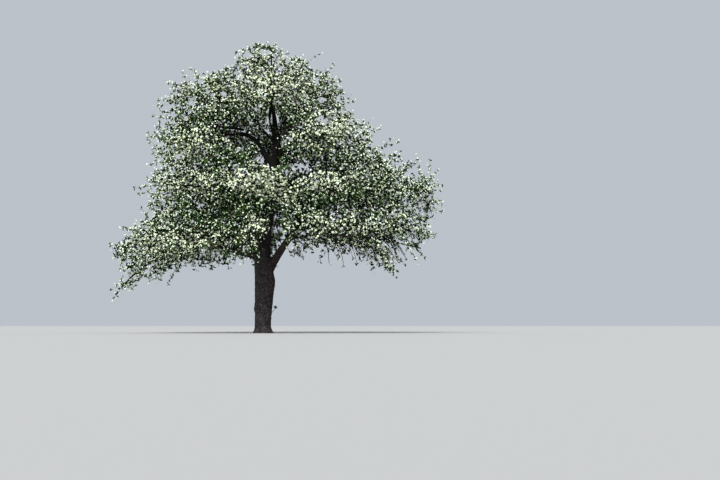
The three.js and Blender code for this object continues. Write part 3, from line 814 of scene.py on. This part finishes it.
# Materials
class Material:
    """A procedural material, and short ways to build it."""

    def __init__(self, name, roughness, gloss):
        self.made = bpy.data.materials.new(name)
        self.made.use_nodes = True
        self.tree = self.made.node_tree
        self.shader = self.tree.nodes["Principled BSDF"]
        self.put(self.shader, {"Roughness": roughness, "Specular IOR Level": gloss})
        self.place = self.add("ShaderNodeTexCoord", {}).outputs["Object"]

    def put(self, node, inputs):
        """Links or sets each of a node's named inputs."""
        for name, value in inputs.items():
            socket = node.inputs[name]
            if isinstance(value, bpy.types.NodeSocket):
                self.tree.links.new(value, socket)
            else:
                socket.default_value = (*value, 1) if socket.type == "RGBA" else value

    def add(self, kind, inputs, **settings):
        node = self.tree.nodes.new(kind)
        for name, value in settings.items():
            setattr(node, name, value)
        self.put(node, inputs)
        return node

    def texture(self, kind, inputs, stretch=(1, 1, 1), **settings):
        """A procedural texture over the object's own metres."""
        mapping = self.add("ShaderNodeMapping", {"Vector": self.place, "Scale": stretch})
        return self.add(kind, {"Vector": mapping.outputs["Vector"], **inputs}, **settings)

    def ramp(self, source, stops):
        node = self.add("ShaderNodeValToRGB", {"Fac": source})
        for element, (at, colour) in zip(node.color_ramp.elements, (stops[0], stops[-1])):
            element.position = at
            element.color = (*colour, 1)
        for at, colour in stops[1:-1]:
            node.color_ramp.elements.new(at).color = (*colour, 1)
        return node.outputs["Color"]

    def mix(self, factor, first, second, blend="MIX"):
        node = self.add("ShaderNodeMix", {}, data_type="RGBA", blend_type=blend)
        self.put(node, {0: factor, 6: first, 7: second})
        return node.outputs[2]

    def share(self, source, start, end, most=1.0):
        """How far a value lies from start to end, from 0 to the most."""
        inputs = {"Value": source, "From Min": start, "From Max": end, "To Max": most}
        return self.add("ShaderNodeMapRange", inputs).outputs["Result"]

    def bump(self, height, distance, strength):
        node = self.add("ShaderNodeBump", {"Height": height, "Distance": distance, "Strength": strength})
        self.put(self.shader, {"Normal": node.outputs["Normal"]})


def bark_material():
    """Dark cracked bark: olive to the left, red-brown to the right, blackest in its furrows, and nearly black
    with painted shade on the limbs up in the crown.
    """
    material = Material("pear_bark", 0.95, 0.2)
    patches = material.texture("ShaderNodeTexNoise", {"Scale": 3.2, "Detail": 8})
    tones = [(0.3, (0.038, 0.033, 0.033)), (0.52, (0.058, 0.052, 0.054)), (0.72, (0.088, 0.082, 0.08))]
    tone = material.ramp(patches.outputs["Fac"], tones)
    apart = material.add("ShaderNodeSeparateXYZ", {"Vector": material.place})
    tints = [(0, (0.9, 1, 0.72)), (0.3, (0.95, 0.97, 1)), (0.6, (1, 0.93, 1)), (1, (1.15, 0.95, 0.86))]
    tint = material.ramp(material.share(apart.outputs["X"], -0.35, 0.45), tints)
    tinted = material.mix(1, tone, tint, "MULTIPLY")
    # Painted shade of the crown: from 2.4 m up to 5 m the bark turns almost black
    aloft = material.share(apart.outputs["Z"], 2.4, 5.0, 0.97)
    limbs_in_painted_shade = material.mix(aloft, tinted, (0.006, 0.006, 0.005))
    furrows = material.add("ShaderNodeAttribute", {}, attribute_name="furrow")
    colour = material.mix(furrows.outputs["Fac"], limbs_in_painted_shade, (0.012, 0.011, 0.011))
    material.put(material.shader, {"Base Color": colour})
    plates = material.texture("ShaderNodeTexVoronoi", {"Scale": 24}, (1, 1, 0.5), feature="DISTANCE_TO_EDGE")
    material.bump(plates.outputs["Distance"], 0.02, 0.5)
    return material.made


def twig_material():
    material = Material("pear_twig", 0.85, 0.15)
    rings = material.texture("ShaderNodeTexNoise", {"Scale": 30})
    colour = material.ramp(rings.outputs["Fac"], [(0.35, (0.007, 0.006, 0.005)), (0.7, (0.02, 0.017, 0.014))])
    material.put(material.shader, {"Base Color": colour})
    material.bump(rings.outputs["Fac"], 0.003, 0.4)
    return material.made


def soft_material(name, colour, gloss, grain, depth):
    """One plain colour with fine veins, for a petal or a leaf."""
    material = Material(name, 0.55, gloss)
    material.put(material.shader, {"Base Color": colour})
    veins = material.texture("ShaderNodeTexNoise", {"Scale": grain})
    material.bump(veins.outputs["Fac"], depth, 0.35)
    return material.made


def soft_materials(kind, colours, *surface):
    return [soft_material(f"{kind}_{name}", colour, *surface) for name, colour in colours.items()]


# The shaded petal colour is painted shade: the white made a little darker and greener
PETAL_COLOURS = {"white": (0.6, 0.65, 0.56), "cream": (0.64, 0.69, 0.49), "shaded": (0.55, 0.64, 0.47)}
# The leaf colours are a leaf's own greens made far darker, with painted shade of the crown's inside in them;
# deep, nearly black, is mostly painted shade
LEAF_COLOURS = {
    "fresh": (0.034, 0.073, 0.019), "deep": (0.005, 0.016, 0.005), "bronze": (0.036, 0.043, 0.015),
}
BARK = bark_material()
TWIG = twig_material()
PETALS = soft_materials("petal", PETAL_COLOURS, 0.15, 160, 0.0015)
LEAVES = soft_materials("leaf", LEAF_COLOURS, 0.04, 120, 0.002)


def deal(sprays, shares, salt):
    """A tint number for each spray, in the given shares."""
    value = (sprays * GOLDEN * 7 + salt) % 1
    return np.searchsorted(np.cumsum(shares)[:-1], value)


def keep(piece, slot, *nodes):
    """Rides a piece on the tree's one body, in the place of the given solids."""
    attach(piece, "root")
    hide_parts(*nodes)


# Trunk and boughs in one skin
BARK_VOXEL = 0.04
TRUNK_SIDES = 48
LIMB_SIDES = 20

# The relief of the bark: plates between furrows, and wide swellings, all gentler away from the trunk
FINE_BELOW = 3.3
PLATES = Values(across=13, upright=0.5, depth=0.02, width=0.3, warp=0.35, warp_grain=0.6)
SWELLINGS = [(0.016, 2.2), (0.006, 7)]
STOUT = Values(right=0.15, within=(0.75, 0.12), below=(4.6, 0.8))

# The limb that shows as an arch is stouter than its solid, and others more slender
GIRTHS = {
    "bough_upper_1": 0.8, "bough_upper_2": 0.75, "bough_upper_3": 1.6, "bough_upper_4": 0.6,
    "bough_upper_5": 0.8, "bough_shoulder_3": 0.6, "bough_skirt_1": 0.65,
}


def trunk_tube():
    """The trunk from a little below the ground, with closer rings round its foot."""
    heights = np.concatenate([np.linspace(-0.12, 0.6, 13), np.linspace(0.7, 9.4, 80)])
    middles = np.array([trunk.at_height(max(height, 0)) for height in heights])
    middles[:, 2] = heights
    angles = 2 * np.pi * np.arange(TRUNK_SIDES) / TRUNK_SIDES
    radii = trunk.girth(heights[:, None], angles[None])
    circle = np.stack([np.cos(angles), np.sin(angles), np.zeros(TRUNK_SIDES)], axis=1)
    return tubes((middles[:, None] + radii[..., None] * circle)[None])


def limb_tube(limb):
    points, shares = limb.even(max(16, int(limb.length / 0.08)))
    radii = limb.radius(shares) * GIRTHS.get(limb.name, 1)
    return tubes_along(points[None], radii[None], LIMB_SIDES)


def bark_skin():
    """The union of trunk and boughs as one closed skin with softened forks."""
    piece = add_mesh("bark", [trunk_tube(), *map(limb_tube, limbs)], [BARK])
    remesh = piece.modifiers.new("skin", "REMESH")
    remesh.mode = "VOXEL"
    remesh.voxel_size = BARK_VOXEL
    soften = piece.modifiers.new("soften", "SMOOTH")
    soften.factor = 0.5
    soften.iterations = 3
    finished = bpy.data.meshes.new_from_object(piece.evaluated_get(bpy.context.evaluated_depsgraph_get()))
    piece.modifiers.clear()
    piece.data = finished
    return piece


def furrow(point):
    """How deep a bark furrow is at a point: 1 in its middle, 0 on a plate."""
    spot = Vector((point.x, point.y, point.z * PLATES.upright)) * PLATES.across
    spot += PLATES.warp * noise.noise_vector(spot * PLATES.warp_grain)
    nearest, second = noise.voronoi(spot)[0][:2]
    return max(0.0, 1 - (second - nearest) / PLATES.width)


def fading(value, limit, width):
    """1 well below a limit, 0 well above it."""
    return 1 / (1 + math.exp((value - limit) / width))


def on_low_trunk(edge):
    near = math.hypot(edge.verts[0].co.x, edge.verts[0].co.y) < STOUT.within[0]
    return near and all(vertex.co.z < FINE_BELOW for vertex in edge.verts)


def carve_bark(piece):
    """Gives the skin its relief, marks the furrows for the material, and cuts it flat at the ground."""
    skin = bmesh.new()
    skin.from_mesh(piece.data)
    low = [edge for edge in skin.edges if on_low_trunk(edge)]
    bmesh.ops.subdivide_edges(skin, edges=low, cuts=1, use_grid_fill=True, smooth=0.6)
    skin.normal_update()
    furrowed = skin.verts.layers.float.new("furrow")
    burr_at = Vector(trunk.at_height(BURR.height))
    burr_at += Vector(along(BURR.azimuth, 0)) * float(trunk.girth(BURR.height, math.pi))
    moves = []
    for vertex in skin.verts:
        point = vertex.co
        stout = fading(math.hypot(point.x - STOUT.right, point.y), *STOUT.within)
        stout *= fading(point.z, *STOUT.below)
        plates = furrow(point)
        swell = sum(height * noise.noise(point * grain) for height, grain in SWELLINGS)
        depth = swell * (0.35 + 0.65 * stout) - PLATES.depth * plates * (0.3 + 0.7 * stout)
        away = (point - burr_at).length
        depth += sum(height * math.exp(-(away / width) ** 2) for height, width in BURR.rings)
        moves.append(vertex.normal * depth)
        vertex[furrowed] = plates * (0.45 + 0.55 * stout)
    for vertex, move in zip(skin.verts, moves):
        vertex.co += move
    cut = bmesh.ops.bisect_plane(
        skin, geom=[*skin.verts, *skin.edges, *skin.faces], plane_co=(0, 0, 0), plane_no=(0, 0, 1),
        clear_inner=True,
    )
    rim = [item for item in cut["geom_cut"] if isinstance(item, bmesh.types.BMEdge)]
    bmesh.ops.contextual_create(skin, geom=rim)
    for face in skin.faces:
        face.smooth = True
    skin.to_mesh(piece.data)
    skin.free()


bark = bark_skin()
carve_bark(bark)
keep(bark, "bark", "trunk", *[limb.name for limb in limbs])


# Foliage, in one piece of each kind for each part of the crown
BANDS = {
    "skirt": ("skirt", "low"), "lower": ("lower", "inner"), "upper": ("upper",), "top": ("shoulder", "crest"),
}

# By level: the sides and rings of a twig's tube, and how much stouter it is drawn
TWIG_TUBES = [({0, 1}, 6, 9, 1.5), ({2}, 5, 6, 1.4), ({3, 7}, 4, 5, 1.2), ({4}, 3, 4, 1), ({5, 6}, 3, 3, 1)]

# The chance that a spur flowers, inside the crown and at its edge, and how flowers clump in tufts
FLOWERING = (0.92, 1.08)
TUFTS = Values(grain=4.5, contrast=1.4, power=0.6)

# Shares of white, cream and shaded petals, and the factors of BLOOM that bring more cream or shade; the
# shaded tint is painted shade
PETAL_SHARES = (0.38, 0.34, 0.28)
CREAM_ABOVE = 1.15
SHADED_BELOW = 0.8
EDGE_SHADED = 0.4

# Shares of fresh, deep and bronze leaves, and the height from which bronze takes the place of deep; deep is a
# nearly black green, painted shade
LEAF_SHARES = (0.36, 0.48, 0.16)
BRONZE_ABOVE = 9.2
LEAVES_EACH = 3

# Limits to the sizes of clusters, which follow BLOOM, and of leaves, larger inside the crown
CLUSTER_SIZES = (0.45, 2.2)
CLUSTER_POWER = 0.35
LEAF_SIZES = (0.75, 1.1)
LEAF_INSIDE = 1.2
LEAF_OUTWARD = 0.35


def twig_piece(name, grown, roots, places):
    """All twigs of a part of the crown, and a thin stalk from its root to each cluster."""
    aside = unit(np.cross(places - roots, [0, 0, 1])) * SPURS.thick / 2
    stalks = np.stack([roots - aside, roots + aside, places], axis=1).reshape(-1, 3)
    parts = [(stalks, [np.arange(len(stalks)).reshape(-1, 3)])]
    for levels, sides, rings, stout in TWIG_TUBES:
        for twigs in grown:
            chosen = [twig for twig in twigs if twig[-1] in levels]
            if not chosen:
                continue
            lines, _, radii = along_twigs(chosen, np.linspace(0, 1, rings))
            parts.append(tubes_along(lines, radii * stout, sides))
    return add_mesh(name, parts, [TWIG])


def clusters(places, facings, sizes, tints, random):
    """Clusters made from a few shapes of cluster, and the tint of each face."""
    shapes, faces = zip(*[cluster(random) for _ in range(8)])
    chosen = random.integers(0, len(shapes), len(places))
    spins, scales = np.empty(len(places)), np.empty(len(places))
    for number in range(len(shapes)):
        mine = chosen == number
        spins[mine] = random.uniform(0, 2 * np.pi, mine.sum())
        scales[mine] = sizes[mine] * random.uniform(0.85, 1.15, mine.sum())
    faces = faces[0][0]
    part = place_copies(np.array(shapes)[chosen], faces, places, frames_about(facings, spins), scales)
    return part, np.repeat(tints, len(faces))


def rosettes(roots, facings, sizes, tints, random):
    """A rosette of leaves at each root, and the tint of each face."""
    template, faces = leaf()
    count = len(roots) * LEAVES_EACH
    roots = np.repeat(roots, LEAVES_EACH, axis=0)
    axes = unit(np.repeat(facings, LEAVES_EACH, axis=0) + random.normal(0, 0.45, (count, 3)))
    frames = frames_about(axes, random.uniform(0, 2 * np.pi, count))
    scales = np.repeat(sizes, LEAVES_EACH) * random.uniform(0.75, 1.25, count)
    part = place_copies(template, faces, roots, frames, scales)
    return part, np.repeat(tints, LEAVES_EACH * len(faces))


def grow_band(band, chosen, random):
    grown = [grow_twigs(mass) for mass in chosen]
    for mass, twigs in zip(chosen, grown):
        if mass.bearer in limbs:
            add_bough_twigs(twigs, mass.bearer, random)
        if band == "skirt":
            add_weeping(twigs, random)
        add_shoots(twigs, random)
    return grown


def petal_tints(places, sprays, thick):
    """Petals' tints by spray, creamy where blossom is thick, and with painted shade (the shaded tint) where
    it is thin or at the edge.
    """
    tints = deal(sprays, PETAL_SHARES, 0.1)
    tints[(thick > CREAM_ABOVE) & (tints == 2)] = 1
    tints[(thick < SHADED_BELOW) & (tints == 0)] = 2
    # Painted shade on the petals at the crown's edge
    tints[in_outline(places) < EDGE_SHADED] = 2
    return tints


def dress_band(band, families):
    """Grows a part of the crown, in one piece of twigs, one of blossom and one of leaves."""
    random = np.random.default_rng(len(band) * 31 + len(families))
    chosen = [mass for mass in masses if mass.name.split("_")[0] in families]
    nodes = [f"foliage_{mass.name}" for mass in chosen]
    grown = grow_band(band, chosen, random)
    spurs = [spurs_of(mass, twigs, random) for mass, twigs in zip(chosen, grown)]
    roots, places, facings = (np.vstack([spur[column] for spur in spurs]) for column in range(3))
    sprays = np.concatenate([spur[3] + 1000 * i for i, spur in enumerate(spurs)])
    keep(twig_piece(f"twigs_{band}", grown, roots, places), "bark", *nodes)

    thick = factors(places, BLOOM)
    outward = np.minimum(crown_shares(places), 1) ** 2
    chance = FLOWERING[0] + (FLOWERING[1] - FLOWERING[0]) * outward
    tufts = 1 + TUFTS.contrast * noise_at(places, TUFTS.grain, 21)
    chance *= thick ** TUFTS.power * tufts
    flowers = random.uniform(0, 1, len(places)) < chance
    tints = petal_tints(places, sprays, thick)[flowers]
    sizes = np.clip(thick, *CLUSTER_SIZES) ** CLUSTER_POWER
    part, slots = clusters(places[flowers], facings[flowers], sizes[flowers], tints, random)
    keep(add_mesh(f"blossom_{band}", [part], PETALS, slots), "blossom", *nodes)

    tints = deal(sprays, LEAF_SHARES, 0.6)
    tints[(places[:, 2] > BRONZE_ABOVE) & (tints == 1)] = 2
    sizes = np.clip(1 / sizes, *LEAF_SIZES) * (LEAF_INSIDE - LEAF_OUTWARD * outward)
    part, slots = rosettes(roots[::2], facings[::2], sizes[::2], tints[::2], random)
    keep(add_mesh(f"leaves_{band}", [part], LEAVES, slots), "young_leaf", *nodes)


for band, families in BANDS.items():
    dress_band(band, families)


# The shoot low on the trunk, with its rosette of leaves
SPROUT = Values(
    height=0.73, azimuth=0, rise=55, length=0.39, sag=0.03, base=0.011, tip=0.006, rings=8, sides=8,
    leaves=22, size=(0.5, 0.75), seed=5,
)


def add_sprout():
    random = np.random.default_rng(SPROUT.seed)
    count, rings = SPROUT.leaves, SPROUT.rings
    buried = trunk.girth(SPROUT.height, 0) * 0.8
    start = trunk.at_height(SPROUT.height) + along(SPROUT.azimuth, 0) * buried
    heading = along(SPROUT.azimuth, SPROUT.rise)
    line = start + heading * np.linspace(0, SPROUT.length, rings)[:, None]
    line[:, 2] -= SPROUT.sag * np.sin(np.linspace(0, np.pi, rings))
    radii = np.linspace(SPROUT.base, SPROUT.tip, rings)
    stem = tubes_along(line[None], radii[None], SPROUT.sides)
    keep(add_mesh("sprout_stem", [stem], [TWIG]), "bark", "trunk_sprout")
    template, faces = leaf()
    roots = line[-1] + random.normal(0, 0.012, (count, 3))
    facings = unit(random.normal(0, 1, (count, 3)) + heading * 0.4)
    frames = frames_about(facings, random.uniform(0, 6.28, count))
    rosette = place_copies(template, faces, roots, frames, random.uniform(*SPROUT.size, count))
    slots = np.repeat(np.arange(count) % 2, len(faces))
    keep(add_mesh("sprout_leaves", [rosette], LEAVES, slots), "young_leaf", "trunk_sprout")


add_sprout()


# Floor, light and camera
bpy.ops.mesh.primitive_plane_add(size=1200, location=(0, 400, 0))
floor = bpy.context.object
floor.name = "floor"
pale = Material("pale_floor", 0.9, 0.5)
pale.put(pale.shader, {"Base Color": (0.34, 0.34, 0.335)})
floor.data.materials.append(pale.made)

scene = bpy.context.scene
scene.world = bpy.data.worlds.new("soft_sky")
scene.world.use_nodes = True
background = scene.world.node_tree.nodes["Background"]
background.inputs["Color"].default_value = (0.70, 0.75, 0.81, 1)
background.inputs["Strength"].default_value = 0.63

sun = add_object("soft_sun", bpy.data.lights.new("soft_sun", "SUN"))
sun.data.energy = 5.7
sun.data.angle = math.radians(30)
sun.rotation_euler = (math.radians(53), math.radians(-14), 0)

VIEW = Values(distance=60, right=3.93, height=0.3, aim=3.77, frame=29.16, sensor=36)
camera = add_object("front", bpy.data.cameras.new("front"))
camera.data.sensor_width = VIEW.sensor
camera.data.lens = VIEW.sensor * VIEW.distance / VIEW.frame
camera.data.clip_end = 3000
camera.location = (VIEW.right, -VIEW.distance, VIEW.height)
pitch = math.atan2(VIEW.aim - VIEW.height, VIEW.distance)
camera.rotation_euler = (math.pi / 2 + pitch, 0, 0)
scene.camera = camera
scene.view_settings.view_transform = "Standard"
scene.view_settings.look = "Medium High Contrast"
